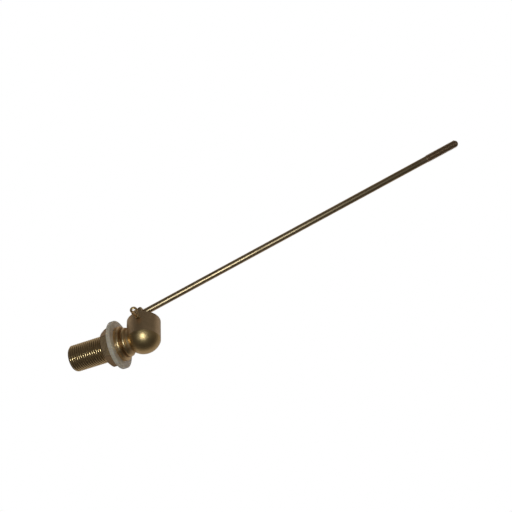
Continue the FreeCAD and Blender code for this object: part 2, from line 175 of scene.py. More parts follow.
# split pin
PIN_WIRE = 1.36
PIN_LEG_OFFSET = 0.05
PIN_EYE_RADIUS = 1.5
PIN_EYE_SWEEP = 256
PIN_EYE_POINTS = 13
PIN_EYE_SWELL = 0.02
PIN_EYE = np.array([PIVOT[0] - 0.75, 18.85, -12.0])
PIN_EYE_NORMAL = np.array([0.206, 0.175, 0.963])
PIN_SPREAD = math.radians(35)
PIN_TAIL = 5.0


# ---------------------------------------------------------------- mesh helpers
def add_mesh(name, points, faces):
    """A new object from millimetre points, with its normals facing out."""
    mesh = bpy.data.meshes.new(name)
    mesh.from_pydata([tuple(p * MM) for p in np.asarray(points, float)], [], faces)
    bm = bmesh.new()
    bm.from_mesh(mesh)
    bmesh.ops.recalc_face_normals(bm, faces=bm.faces)
    bm.to_mesh(mesh)
    bm.free()
    obj = bpy.data.objects.new(name, mesh)
    bpy.context.scene.collection.objects.link(obj)
    return obj


def smooth(obj, sharp_degrees):
    """Smooth shading that keeps edges sharper than the angle crisp."""
    obj.data.shade_smooth()
    obj.data.set_sharp_from_angle(angle=math.radians(sharp_degrees))


def grid_faces(rows, columns, close_rows):
    """Quads over a grid whose columns wrap round, and whose rows wrap too if close_rows."""
    faces = []
    last = rows if close_rows else rows - 1
    for i in range(last):
        j = (i + 1) % rows
        for k in range(columns):
            n = (k + 1) % columns
            faces.append((i * columns + k, i * columns + n, j * columns + n, j * columns + k))
    return faces


def round_angles(columns):
    """Evenly spaced angles once round the axis."""
    return np.linspace(0, 2 * np.pi, columns, endpoint=False)


def turned_points(along, radius, angles):
    """Points about the X axis, row by row. along and radius hold one value for each row, or
    one for each row and angle."""
    spread = np.ones(len(angles))
    along = np.outer(along, spread) if np.ndim(along) == 1 else along
    radius = np.outer(radius, spread) if np.ndim(radius) == 1 else radius
    points = np.stack([along, radius * np.cos(angles), radius * np.sin(angles)], axis=-1)
    return points.reshape(-1, 3)


def turned_ring(name, along, radius, columns):
    """A closed ring about X from a loop of rows."""
    points = turned_points(along, radius, round_angles(columns))
    return add_mesh(name, points, grid_faces(len(along), columns, True))


def turned_solid(name, along, radius, columns):
    """A solid about X whose first and last rows close on the axis."""
    points = turned_points(along, radius, round_angles(columns))
    points = np.vstack([points, [along[0], 0, 0], [along[-1], 0, 0]])
    rows = len(along)
    faces = grid_faces(rows, columns, False)
    first_pole = rows * columns
    top = (rows - 1) * columns
    for k in range(columns):
        n = (k + 1) % columns
        faces.append((first_pole, n, k))
        faces.append((first_pole + 1, top + k, top + n))
    return add_mesh(name, points, faces)


def turned_outline(name, outline, columns):
    """A solid about X from outline points (along, radius)."""
    along, radius = split_outline(outline)
    return turned_solid(name, along, radius, columns)


def line(start, end, steps):
    """Points on a straight stretch of an outline, without its end."""
    return [
        (start[0] + (end[0] - start[0]) * i / steps, start[1] + (end[1] - start[1]) * i / steps)
        for i in range(steps)
    ]


def arc(centre, radius, start_degrees, end_degrees, steps):
    """Points on a round stretch of an outline, with both ends."""
    points = []
    for i in range(steps + 1):
        a = math.radians(start_degrees + (end_degrees - start_degrees) * i / steps)
        points.append((centre[0] + radius * math.cos(a), centre[1] + radius * math.sin(a)))
    return points


def split_outline(points):
    """The along and radius arrays of an outline."""
    data = np.array(points, float)
    return data[:, 0], data[:, 1]


def boolean(obj, other, operation):
    """Applies one exact boolean to obj and removes the other object."""
    modifier = obj.modifiers.new("cut", "BOOLEAN")
    modifier.operation = operation
    modifier.solver = "EXACT"
    modifier.object = other
    apply_modifiers(obj)
    bpy.data.objects.remove(other)


def apply_modifiers(obj):
    """Replaces the mesh with its evaluated form and clears the modifiers."""
    graph = bpy.context.evaluated_depsgraph_get()
    final = bpy.data.meshes.new_from_object(obj.evaluated_get(graph))
    obj.modifiers.clear()
    obj.data = final


def roughen(obj, size, depth, seed):
    """Moves each vertex along its normal by smooth noise of that grain size and depth."""
    offset = Vector((seed * 7.3, seed * 3.1, seed * 5.7))
    mesh = obj.data
    normals = [v.normal.copy() for v in mesh.vertices]
    for v, n in zip(mesh.vertices, normals):
        spot = v.co / MM / size + offset
        v.co += n * (noise.fractal(spot, 0.8, 2.1, 3) * depth * MM)


def turn_upright(obj, centre_x):
    """Stands a piece turned about X upright about the vertical axis through centre_x."""
    turn = Matrix.Translation((centre_x * MM, 0, 0)) @ Matrix.Rotation(-math.pi / 2, 4, "Y")
    obj.data.transform(turn)


def thread_height(phase, shares):
    """Height of a thread form at a phase of the pitch: 1 on the crest and 0 in the root.

    shares are the parts of the pitch that the rounded crest and the flat root take.
    """
    crest_share, root_share = shares
    away = np.abs((phase + 0.5) % 1.0 - 0.5)
    flank = (0.5 - root_share / 2 - away) / (0.5 - root_share / 2 - crest_share / 2)
    height = np.clip(flank, 0, 1)
    crown = 1 - np.minimum(away / (crest_share / 2), 1) ** 2
    return height * (1 - CREST_ROUND) + crown * CREST_ROUND


# ---------------------------------------------------------------- pieces
def make_tail():
    """The inlet tail: a tube with a right-handed helical thread and a chamfered end."""
    columns = 160
    rows_per_pitch = 24
    end_x = SEAT_X - TAIL_RELIEF
    outer_x = np.linspace(TAIL_START_X, end_x, int(end_x / PITCH * rows_per_pitch))
    phase = outer_x[:, None] / PITCH - round_angles(columns) / (2 * np.pi)
    height = thread_height(phase, THREAD_SHARES)
    chamfer = TAIL_END_RADIUS + outer_x[:, None] * TAIL_END_SLOPE
    crest = np.minimum(THREAD_CREST, chamfer)
    root = np.minimum(THREAD_ROOT, chamfer)
    # the thread runs out into a plain relief next to the flange
    fade = np.clip((end_x - THREAD_FADE / 2 - outer_x) / THREAD_FADE, 0, 1)[:, None]
    outer_r = root + (crest - root) * height * fade
    # the waterway, its eased mouth and the flat end ring out to the chamfer
    lead = 0.5
    bore = [(end_x, INLET_RADIUS)]
    bore += line((end_x - 0.5, INLET_RADIUS), (lead + 0.1, INLET_RADIUS), 12)
    bore += [(lead, INLET_RADIUS), (lead / 2, INLET_RADIUS + 0.15), (0.0, INLET_RADIUS + lead)]
    bore += [(0.0, 7.6), (0.0, 8.2), (0.0, 8.8), (0.08, 8.98)]
    bore_x, bore_r = split_outline(bore)
    along = np.concatenate([outer_x, bore_x])
    radius = np.vstack([outer_r, np.outer(bore_r, np.ones(columns))])
    obj = turned_ring("valve_body_tail", along, radius, columns)
    smooth(obj, 50)
    return obj


def flange_outline():
    """Outline of flange, groove, bead and neck, from the axis behind the flange to the bell."""
    back = SEAT_X
    rim = back + FLANGE_THICKNESS
    # the plug overlaps the tail by a little, and is just thinner than the thread's roots
    plug_x = back - TAIL_RELIEF - 0.2
    plug_radius = THREAD_ROOT - 0.05
    points = line((plug_x, NEAR_AXIS), (plug_x, plug_radius - 0.05), 3)
    points += [(plug_x, plug_radius), (back - 0.1, plug_radius)]
    edge = FLANGE_BACK_ROUND
    points += line((back, THREAD_ROOT + 0.05), (back, FLANGE_RADIUS - edge), 5)
    points += arc((back + edge, FLANGE_RADIUS - edge), edge, 180, 90, 5)
    start = (back + edge + 0.2, FLANGE_RADIUS)
    points += line(start, (rim - FLANGE_ROUND, FLANGE_RADIUS), 5)
    points += arc((rim - FLANGE_ROUND, FLANGE_RADIUS - FLANGE_ROUND), FLANGE_ROUND, 90, 0, 20)
    corner = (rim + GROOVE_FILLET, GROOVE_RADIUS + GROOVE_FILLET)
    points += line((rim, FLANGE_RADIUS - FLANGE_ROUND - 0.2), (rim, corner[1]), 2)
    points += arc(corner, GROOVE_FILLET, 180, 262, 10)
    bead_start = (rim + GROOVE_FILLET + 0.1, GROOVE_RADIUS)
    bead_end = (BEAD_X + BEAD_FALL, BEAD_END_RADIUS)
    points += bead(bead_start, bead_end, 22)
    slope_start = (bead_end[0] + 0.2, bead_end[1] - 0.23)
    points += line(slope_start, (NECK_X - 0.2, NECK_RADIUS + 0.1), 3)
    neck_end = NECK_X + NECK_LENGTH
    points += line((NECK_X, NECK_RADIUS + 0.02), (neck_end, NECK_RADIUS), 4)
    points += [(neck_end, NECK_RADIUS - 0.05), (neck_end, 5.0), (neck_end, NEAR_AXIS)]
    return points


def bead(start, end, steps):
    """Points on the bead's round top, from start over its highest point to end."""
    top = (BEAD_X, BEAD_RADIUS)
    points = []
    for i in range(steps + 1):
        x = start[0] + (end[0] - start[0]) * i / steps
        foot = start if x < top[0] else end
        away = (x - top[0]) / (foot[0] - top[0])
        points.append((x, top[1] - (top[1] - foot[1]) * away * away))
    return points


def upright_outline(radius, bottom, dome_radius, edge, chamfer):
    """Outline of a dome on a barrel, drawn along X and later stood upright."""
    # rows close to both sides of the dome's edge keep it crisp
    support = 0.15
    dome_centre = edge - math.sqrt(dome_radius**2 - radius**2)
    edge_angle = math.degrees(math.asin(radius / dome_radius))
    points = [(bottom, NEAR_AXIS), (bottom, radius * 0.5), (bottom, radius - chamfer - 0.02)]
    points += line((bottom, radius - chamfer), (bottom + chamfer, radius), 3)
    points += line((bottom + chamfer, radius), (edge - support, radius), 16)
    points += [(edge - support, radius), (edge - 0.03, radius)]
    points += arc((dome_centre, 0), dome_radius, edge_angle - 0.12, edge_angle - 0.7, 1)
    points += arc((dome_centre, 0), dome_radius, edge_angle - 1.5, 1.5, 40)
    return points


def make_bell_body():
    """Flange, neck and bell in one casting, hollowed and drilled."""
    obj = turned_outline("valve_body_bell", flange_outline(), 224)
    outside = upright_outline(BELL_RADIUS, MOUTH_Z, DOME_RADIUS, DOME_EDGE_Z, BELL_CHAMFER)
    bell = turned_outline("bell_form", outside, 160)
    turn_upright(bell, BELL_X)
    boolean(obj, bell, "UNION")
    inner = BELL_RADIUS - BELL_WALL
    inside = upright_outline(inner, MOUTH_Z - 2, inner, 0, 0.1)
    cavity = turned_outline("cavity_form", inside, 128)
    turn_upright(cavity, BELL_X)
    boolean(obj, cavity, "DIFFERENCE")
    low, high = MOUTH_Z - 1.0, MOUTH_Z + 0.5
    lead = [(low, NEAR_AXIS), (low, inner + BELL_LEAD), (high, inner), (high, NEAR_AXIS)]
    lead_form = turned_outline("lead_form", lead, 128)
    turn_upright(lead_form, BELL_X)
    boolean(obj, lead_form, "DIFFERENCE")
    start = SEAT_X - 5
    inlet = [(start, NEAR_AXIS), (start, INLET_RADIUS), (INLET_DEPTH, INLET_RADIUS)]
    inlet += [(INLET_DEPTH, NECK_BORE_RADIUS), (BELL_X, NECK_BORE_RADIUS), (BELL_X, NEAR_AXIS)]
    boolean(obj, turned_outline("inlet_form", inlet, 96), "DIFFERENCE")
    reach = BELL_RADIUS + 2
    hole = [(-reach, PIN_HOLE_RADIUS), (reach, PIN_HOLE_RADIUS)]
    pin_form = turned_outline("pin_form", hole, 48)
    turn = Matrix.Translation(Vector(PIVOT * MM)) @ Matrix.Rotation(math.pi / 2, 4, "Z")
    pin_form.data.transform(turn)
    boolean(obj, pin_form, "DIFFERENCE")
    smooth(obj, 32)
    return obj


def hex_radius(angles, across_flats, turn_degrees):
    """Distance from the axis to a hexagon's side at each angle, with its corners eased."""
    corner_cut = 0.15
    local = np.degrees(angles) - turn_degrees
    from_flat = np.radians((local % 60) - 30)
    side = across_flats / 2 / np.cos(from_flat)
    limit = across_flats / math.sqrt(3) - corner_cut
    return soft_min(side, limit, 0.12)


def soft_min(a, b, width):
    """The smaller of two values, blended over a width."""
    h = np.clip(0.5 + 0.5 * (b - a) / width, 0, 1)
    return b + (a - b) * h - width * h * (1 - h)


def nut_angles(turn_degrees):
    """Angles of a nut's columns, starting at its first corner."""
    return round_angles(NUT_COLUMNS) + math.radians(turn_degrees)


def make_nut(name, ends, across_flats, turn_degrees, chamfer, bore):
    """A hexagonal nut along X between two ends.

    chamfer is its drop and length, and bore holds the hole's rows (x, radius).
    """
    low_x, high_x = ends
    drop, length = chamfer
    angles = nut_angles(turn_degrees)
    sides = hex_radius(angles, across_flats, turn_degrees)
    bore_edge = np.max(bore[0][1])
    face_inset = 0.25

    def outer(distance):
        """Radius of the outside at a distance from the nearer face."""
        cone = across_flats / 2 - face_inset + distance * drop / length
        return soft_min(sides, cone, 0.3)

    def face(x, share):
        """One row on a face, at a share of the way from the bore to the outside."""
        return x, bore_edge + (outer(0.0) - bore_edge) * share

    half = (high_x - low_x) / 2
    depths = np.concatenate([np.linspace(0, length, 9), np.linspace(length, half, 8)[1:]])
    shares = np.linspace(0.02, 0.98, 8)
    rows = [face(low_x, share) for share in shares]
    rows += [(low_x + d, outer(d)) for d in depths]
    rows += [(high_x - d, outer(d)) for d in depths[::-1][1:]]
    rows += [face(high_x, share) for share in shares[::-1]]
    rows += [(x, r * np.ones(NUT_COLUMNS)) for x, r in bore[::-1]]
    along = np.array([x for x, radius in rows])
    radius = np.array([radius for x, radius in rows])
    points = turned_points(along, radius, angles)
    return add_mesh(name, points, grid_faces(len(rows), NUT_COLUMNS, True))


def plain_bore(ends, radius, chamfer):
    """Rows of a chamfered hole from its low end to its high end."""
    low_x, high_x = ends
    rows = [(low_x, radius + chamfer), (low_x + chamfer, radius)]
    rows += line((low_x + chamfer + 0.1, radius), (high_x - chamfer - 0.1, radius), 4)
    rows += [(high_x - chamfer, radius), (high_x, radius + chamfer)]
    return rows


def make_backnut():
    """The rough cast backnut, with an internal thread half a pitch off the tail's."""
    low, high = NUT_LOW[0], NUT_HIGH[0]
    turns = nut_angles(NUT_TURN) / (2 * np.pi)
    bore = []
    for x in np.linspace(low, high, 61):
        height = thread_height(x / PITCH - turns + 0.5, NUT_SHARES)
        # a cone at each end of the hole leads the thread in
        lead = max(0.0, 1.0 - (x - low) / NUT_LEAD, 1.0 - (high - x) / NUT_LEAD)
        cone = min(NUT_CREST + lead * NUT_LEAD_DEPTH, NUT_MOUTH_RADIUS)
        bore.append((x, np.maximum(NUT_ROOT - (NUT_ROOT - NUT_CREST) * height, cone)))
    obj = make_nut("backnut_piece", (low, high), NUT_FLATS, NUT_TURN, NUT_CHAMFER, bore)
    roughen(obj, size=2.4, depth=0.07, seed=3)
    roughen(obj, size=0.7, depth=0.03, seed=5)
    smooth(obj, 60)
    return obj


def make_lock_nut():
    """The thin nut on the rod, made level and then hung with the rod."""
    ends = (LOCK_NUT_LOW, LOCK_NUT_HIGH)
    bore = plain_bore(ends, LOCK_NUT_BORE, 0.3)
    obj = make_nut(
        "lock_nut_piece", ends, LOCK_NUT_FLATS, LOCK_NUT_TURN, LOCK_NUT_CHAMFER, bore
    )
    hang(obj)
    smooth(obj, 40)
    return obj


def hang(obj):
    """Moves a piece drawn along X from the foot of the rod to the rod's place at rest."""
    foot = ROD_POINT - ROD_AXIS * ROD_FOOT_DISTANCE
    turn = Matrix.Rotation(DROOP, 4, "Y")
    obj.data.transform(Matrix.Translation(Vector(foot * MM)) @ turn)


def make_washer():
    """The plastic washer, slightly wavy and with soft edges."""
    low, high = WASHER_LOW[0], WASHER_HIGH[0]
    soft = WASHER_SOFT
    rim = WASHER_RADIUS - soft
    bore_soft = WASHER_BORE_SOFT
    points = line((low, WASHER_BORE), (low, rim), 10)
    points += arc((low + soft, rim), soft, 180, 90, 8)
    points += arc((high - soft, rim), soft, 90, 0, 8)
    points += line((high, rim - 0.1), (high, WASHER_BORE + 0.1), 10)
    points += arc((high - bore_soft, WASHER_BORE), bore_soft, 0, -90, 3)
    points += arc((low + bore_soft, WASHER_BORE), bore_soft, 270, 180, 3)
    along, radius = split_outline(points)
    obj = turned_ring("tank_washer_piece", along, radius, 192)
    roughen(obj, size=9.0, depth=0.05, seed=9)
    smooth(obj, 60)
    return obj


def make_rod():
    """The drawn rod with a rolled helical thread at each end."""
    columns = 48
    step = ROD_PITCH / 14
    inner_end, outer_start = ROD_INNER_THREAD_END, ROD_OUTER_THREAD_START
    stretches = [
        np.arange(ROD_LOW + 0.05, inner_end, step),
        np.linspace(inner_end, outer_start, 90, endpoint=False),
        np.arange(outer_start, ROD_HIGH - ROD_TIP_RISE - 0.1, step),
    ]
    along = np.concatenate(stretches)
    phase = along[:, None] / ROD_PITCH - round_angles(columns) / (2 * np.pi)
    threaded = ROD_ROOT + (ROD_CREST - ROD_ROOT) * thread_height(phase, ROD_SHARES)
    # both threads run out into the thinner shank
    inner_fade = np.clip((inner_end - 0.3 - along) / 1.0, 0, 1)
    outer_fade = np.clip((along - outer_start - 0.3) / 1.2, 0, 1)
    on_thread = np.maximum(inner_fade, outer_fade)[:, None]
    radius = ROD_SHANK + (threaded - ROD_SHANK) * on_thread
    start_chamfer = ROD_ROOT - 0.35 + (along[:, None] - ROD_LOW) * ROD_END_SLOPE
    end_chamfer = ROD_ROOT + (ROD_HIGH - ROD_TIP_RISE - along[:, None]) * ROD_END_SLOPE
    radius = np.minimum(np.minimum(radius, start_chamfer), end_chamfer)
    # the outer end is a low dome
    dome_radius = (ROD_ROOT**2 + ROD_TIP_RISE**2) / (2 * ROD_TIP_RISE)
    tip_r = np.linspace(ROD_ROOT, 0.2, 10)
    tip_x = ROD_HIGH - dome_radius + np.sqrt(dome_radius**2 - tip_r**2)
    along = np.concatenate([along, tip_x])
    radius = np.vstack([radius, np.outer(tip_r, np.ones(columns))])
    obj = turned_solid("float_rod_piece", along, radius, columns)
    hang(obj)
    smooth(obj, 50)
    return obj


def unit(vectors):
    """The vectors scaled to length 1."""
    return vectors / np.linalg.norm(vectors, axis=-1, keepdims=True)


def sweep(name, path, inward, section, thickness):
    """A closed bar along a path, with its ends drawn in a little.

    inward aims the section's second axis at every path point, and thickness scales it there.
    """
    path = np.array(path, float)
    inward = np.array(inward, float)
    tangent = unit(np.gradient(path, axis=0))
    inward = unit(inward - np.sum(inward * tangent, axis=1)[:, None] * tangent)
    side = np.cross(tangent, inward)
    rows, columns = len(path), len(section)
    points = []
    for i in range(rows):
        ease = 0.55 if i in (0, rows - 1) else 1.0
        for u, w in section:
            depth = w * ease * thickness[i]
            points.append(path[i] + side[i] * (u * ease) + inward[i] * depth)
    faces = grid_faces(rows, columns, False)
    faces.append(tuple(range(columns)))
    faces.append(tuple((rows - 1) * columns + k for k in range(columns)))
    return add_mesh(name, points, faces)


def smooth_curve(points, steps):
    """Catmull-Rom curve through the points, several steps between each two."""
    points = [np.array(p, float) for p in points]
    padded = [2 * points[0] - points[1]] + points + [2 * points[-1] - points[-2]]
    curve = []
    for i in range(1, len(padded) - 2):
        a, b, c, d = padded[i - 1 : i + 3]
        for step in range(steps):
            t = step / steps
            square = (2 * a - 5 * b + 4 * c - d) * t * t
            cube = (3 * b - a - 3 * c + d) * t**3
            curve.append(0.5 * (2 * b + (c - a) * t + square + cube))
    curve.append(points[-1])
    return curve


def make_split_pin():
    """Split pin of half-round wire: spread ends, two legs through the bell and a bent eye."""
    along_y = np.array([0.0, 1.0, 0.0])
    wall = BELL_RADIUS + 0.3
    centre = np.array([PIVOT[0], 0, PIVOT[2]])
    door = centre + along_y * wall
    outward = unit(PIN_EYE - door)
    normal = unit(PIN_EYE_NORMAL)
    across = unit(np.cross(normal, outward))
    # the eye is bent a little out of the legs' plane
    eye_out = np.cross(across, normal)
    split_way = unit(np.array([across[0], 0, across[2]]))

    def leg(side):
        """Path points of one leg, from its spread end to the bell's wall below the eye."""
        base = centre + split_way * (side * PIN_LEG_OFFSET)
        spread_way = split_way * (side * math.sin(PIN_SPREAD)) - along_y * math.cos(PIN_SPREAD)
        knee = base - along_y * (wall + 0.4)
        points = [knee + spread_way * reach for reach in (PIN_TAIL, 3.4, 1.6)]
        points += [knee + along_y * 0.5, base - along_y * (wall - 3)]
        points += [base, base + along_y * (wall - 1.0)]
        points.append(base + along_y * wall + outward * 0.5)
        return points

    eye = []
    for k in range(PIN_EYE_POINTS):
        angle = math.radians(PIN_EYE_SWEEP * (k / (PIN_EYE_POINTS - 1) - 0.5))
        spoke = eye_out * math.cos(angle) - across * math.sin(angle)
        eye.append(PIN_EYE + spoke * PIN_EYE_RADIUS)
    path = smooth_curve(leg(1) + eye + leg(-1)[::-1], 6)
    inward, thickness = [], []
    for i, p in enumerate(path):
        # the wire's flat faces the other leg in the bell and the eye's centre past the wall
        other_leg = split_way * (-1 if i < len(path) / 2 else 1)
        eye_way = PIN_EYE - p
        blend = np.clip((float((p - door) @ outward) - 0.3) / 2.2, 0, 1)
        near_eye = eye_way / max(np.linalg.norm(eye_way), 0.1)
        inward.append(other_leg * (1 - blend) + near_eye * blend)
        thickness.append(1 + PIN_EYE_SWELL * blend)
    turns = np.linspace(0.12, math.pi - 0.12, 15)
    section = [(PIN_WIRE * math.cos(a), -PIN_WIRE * math.sin(a)) for a in turns]
    obj = sweep("split_pin_piece", path, inward, section, thickness)
    smooth(obj, 40)
    return obj


def make_lever():
    """The cast lever: the CAD shape with its edges softened as a casting's are."""
    source = frame["nodes"]["lever"]
    obj = bpy.data.objects.new("lever_piece", source.data.copy())
    bpy.context.scene.collection.objects.link(obj)
    obj.data.materials.clear()
    remesh = obj.modifiers.new("cast", "REMESH")
    remesh.mode = "VOXEL"
    remesh.voxel_size = 0.24 * MM
    relax = obj.modifiers.new("soften", "SMOOTH")
    relax.factor = 0.5
    relax.iterations = 6
    apply_modifiers(obj)
    roughen(obj, size=1.8, depth=0.03, seed=11)
    smooth(obj, 60)
    return obj


# ---------------------------------------------------------------- materials
class Nodes:
    """The shader nodes of one material, with short ways to add and link them."""

    def __init__(self, name):
        self.material = bpy.data.materials.new(name)
        self.material.use_nodes = True
        self.tree = self.material.node_tree
        self.tree.nodes.clear()
        self.output = self.tree.nodes.new("ShaderNodeOutputMaterial")
        self.shader = self.tree.nodes.new("ShaderNodeBsdfPrincipled")
        self.link(self.shader.outputs["BSDF"], self.output.inputs["Surface"])

    def link(self, source, target):
        """Links an output socket to an input socket."""
        self.tree.links.new(source, target)

    def add(self, kind, **inputs):
        """Adds a node and feeds its named inputs. An underscore stands for a space."""
        node = self.tree.nodes.new(kind)
        for key, value in inputs.items():
            self.feed(node.inputs[key.replace("_", " ")], value)
        return node

    def feed(self, socket, value):
        """Sets a socket to a value, or links it if the value is a socket."""
        if isinstance(value, bpy.types.NodeSocket):
            self.link(value, socket)
        else:
            socket.default_value = value

    def coords(self, stretch=(1, 1, 1), turn=0.0):
        """Object coordinates in millimetres, turned about Y and then stretched."""
        source = self.tree.nodes.new("ShaderNodeTexCoord")
        turned = self.add("ShaderNodeMapping", Vector=source.outputs["Object"])
        turned.inputs["Rotation"].default_value = (0, turn, 0)
        scaled = self.add("ShaderNodeMapping", Vector=turned.outputs["Vector"])
        scaled.inputs["Scale"].default_value = tuple(s / MM for s in stretch)
        return scaled.outputs["Vector"]

    def noise(self, vector, scale, detail=3.0, rough=0.55):
        """Fractal noise, with scale grains in a millimetre."""
        node = self.add("ShaderNodeTexNoise", Vector=vector, Scale=scale, Detail=detail)
        node.inputs["Roughness"].default_value = rough
        return node.outputs["Fac"]

    def ramp(self, factor, stops):
        """Colour that runs through the stops, given as (place, colour), as the factor rises."""
        node = self.add("ShaderNodeValToRGB", Fac=factor)
        elements = node.color_ramp.elements
        while len(elements) < len(stops):
            elements.new(0.5)
        for element, (place, colour) in zip(elements, stops):
            element.position = place
            element.color = (*colour, 1)
        return node.outputs["Color"]

    def mix(self, factor, tone, colour):
        """The tone turned by a factor towards a plain colour or another tone."""
        node = self.tree.nodes.new("ShaderNodeMix")
        node.data_type = "RGBA"
        self.feed(node.inputs["Factor"], factor)
        # a mix node's colour sockets are inputs 6 and 7 and output 2
        self.feed(node.inputs[6], tone)
        self.feed(node.inputs[7], (*colour, 1) if isinstance(colour, tuple) else colour)
        return node.outputs[2]

    def math(self, operation, first, second=0.0):
        """One arithmetic step on sockets or numbers."""
        node = self.tree.nodes.new("ShaderNodeMath")
        node.operation = operation
        self.feed(node.inputs[0], first)
        self.feed(node.inputs[1], second)
        return node.outputs[0]

    def ranged(self, value, low, high, to_low, to_high):
        """The value carried from the range low to high over to another range, and held there."""
        node = self.add("ShaderNodeMapRange", Value=value, From_Min=low, From_Max=high)
        node.inputs["To Min"].default_value = to_low
        node.inputs["To Max"].default_value = to_high
        return node.outputs["Result"]

    def bump(self, height, depth_mm, previous=None):
        """Surface relief from a height, on top of the previous relief if there is one."""
        node = self.add("ShaderNodeBump", Height=height, Strength=1.0, Distance=depth_mm * MM)
        if previous is not None:
            self.link(previous, node.inputs["Normal"])
        return node.outputs["Normal"]

    def radius_from_inlet(self):
        """Distance from the inlet axis in millimetres."""
        place = self.along()
        y2 = self.math("MULTIPLY", place["Y"], place["Y"])
        z2 = self.math("MULTIPLY", place["Z"], place["Z"])
        return self.math("SQRT", self.math("ADD", y2, z2))

    def along(self, turn=0.0):
        """The x, y and z of the object coordinates in millimetres."""
        return self.add("ShaderNodeSeparateXYZ", Vector=self.coords(turn=turn)).outputs

    def surface(self, tone, rough, normal, metallic=0.0):
        """Feeds the shader and hands over the finished material."""
        self.feed(self.shader.inputs["Base Color"], tone)
        self.feed(self.shader.inputs["Metallic"], metallic)
        self.feed(self.shader.inputs["Roughness"], rough)
        self.feed(self.shader.inputs["Normal"], normal)
        return self.material


def blasted_brass():
    """Bead-blasted casting: brown-grey tarnish, with a smoother and yellower dome."""
    n = Nodes("blasted_brass")
    spot = n.coords()
    patches = n.noise(spot, 0.16, 4.0, 0.6)
    mottle = n.noise(spot, 1.1, 3.0)
    grain = n.noise(spot, 5.5, 2.0, 0.6)
    on_dome = n.ranged(n.along()["Z"], DOME_EDGE_Z - 0.3, DOME_EDGE_Z + 0.5, 0.0, 1.0)
    barrel = n.ramp(patches, [(0.3, (0.52, 0.356, 0.205)), (0.7, (0.64, 0.44, 0.253))])
    dome = n.ramp(patches, [(0.3, (0.60, 0.40, 0.18)), (0.7, (0.72, 0.485, 0.22))])
    tone = n.mix(on_dome, barrel, dome)
    tone = n.mix(n.ranged(mottle, 0.35, 0.75, 0.0, 0.35), tone, (0.43, 0.295, 0.15))
    tone = n.mix(n.ranged(grain, 0.52, 0.8, 0.0, 0.5), tone, (0.86, 0.69, 0.34))
    # an orange patch on the barrel just above the pin's eye
    orange_patch = n.add("ShaderNodeVectorMath", Vector=spot)
    orange_patch.operation = "DISTANCE"
    orange_patch.inputs[1].default_value = (PIVOT[0] + 0.5, BELL_RADIUS, PIVOT[2] + 2.8)
    near_pin = n.ranged(orange_patch.outputs["Value"], 1.2, 4.2, 0.6, 0.0)
    tone = n.mix(n.math("MULTIPLY", near_pin, mottle), tone, (0.90, 0.52, 0.24))
    smoothness = n.ranged(on_dome, 0.0, 1.0, 0.0, 0.07)
    rough = n.math("SUBTRACT", n.ranged(mottle, 0.3, 0.7, 0.41, 0.49), smoothness)
    return n.surface(tone, rough, n.bump(mottle, 0.05, n.bump(grain, 0.035)), metallic=1.0)


def turned_brass():
    """Lathe-turned brass: fine rings, a polished sheen, and painted shade in the groove."""
    n = Nodes("turned_brass")
    rings = n.noise(n.coords((5.0, 0.03, 0.03)), 1.0, 2.0)
    patches = n.noise(n.coords(), 0.5, 3.0)
    tone = n.ramp(patches, [(0.3, (0.58, 0.38, 0.18)), (0.75, (0.80, 0.56, 0.29))])
    along_x = n.along()["X"]
    # painted shade: the groove between the flange and the bead is darkened towards dark brown, and the same mask
    # roughens it
    from_groove = n.math("ABSOLUTE", n.math("SUBTRACT", along_x, SEAT_X + 4.4))
    groove = n.ranged(from_groove, 0.45, 1.05, 0.7, 0.0)
    outside = n.ranged(n.radius_from_inlet(), 10.9, 11.6, 1.0, 0.0)
    dirt_and_shade = n.math("MULTIPLY", groove, outside)
    tone = n.mix(dirt_and_shade, tone, (0.22, 0.115, 0.04))
    on_neck = n.ranged(along_x, BEAD_X + 1.2, NECK_X + 0.2, 0.0, 1.0)
    tone = n.mix(n.math("MULTIPLY", on_neck, 0.6), tone, (0.56, 0.37, 0.19))
    # the painted groove shade mask also makes the groove duller
    dulled = n.math("ADD", n.math("MULTIPLY", dirt_and_shade, 0.2), n.math("MULTIPLY", on_neck, 0.17))
    rough = n.math("ADD", n.ranged(patches, 0.3, 0.7, 0.30, 0.40), dulled)
    return n.surface(tone, rough, n.bump(rings, 0.0015), metallic=1.0)


def thread_brass():
    """Cut thread: bright worn crests, with a darker tone and a duller finish towards the roots."""
    n = Nodes("thread_brass")
    crest = n.ranged(n.radius_from_inlet(), THREAD_ROOT, THREAD_CREST, 0.0, 1.0)
    dirt_and_shade = n.noise(n.coords(), 0.7, 4.0, 0.6)
    stops = [(0.0, (0.30, 0.195, 0.10)), (0.6, (0.44, 0.30, 0.155)), (0.9, (0.88, 0.62, 0.30))]
    tone = n.ramp(crest, stops)
    tone = n.mix(n.ranged(dirt_and_shade, 0.45, 0.75, 0.0, 0.35), tone, (0.42, 0.28, 0.15))
    worn = n.ranged(crest, 0.55, 0.9, 0.50, 0.18)
    rough = n.math("ADD", worn, n.ranged(dirt_and_shade, 0.4, 0.7, 0.0, 0.05))
    return n.surface(tone, rough, n.bump(n.noise(n.coords(), 4.0), 0.001), metallic=1.0)


def rough_brass():
    """Rough cast nut: pitted, dull olive brown, a little brighter on its corners."""
    n = Nodes("rough_cast_brass")
    spot = n.coords()
    lumps = n.noise(spot, 0.9, 5.0, 0.65)
    pits = n.noise(spot, 3.2, 3.0, 0.6)
    edge = n.tree.nodes.new("ShaderNodeNewGeometry").outputs["Pointiness"]
    tone = n.ramp(lumps, [(0.32, (0.38, 0.245, 0.13)), (0.7, (0.60, 0.40, 0.22))])
    tone = n.mix(n.ranged(edge, 0.52, 0.60, 0.0, 0.6), tone, (0.84, 0.60, 0.33))
    rough = n.ranged(pits, 0.3, 0.7, 0.42, 0.62)
    return n.surface(tone, rough, n.bump(pits, 0.06, n.bump(lumps, 0.12)), metallic=1.0)


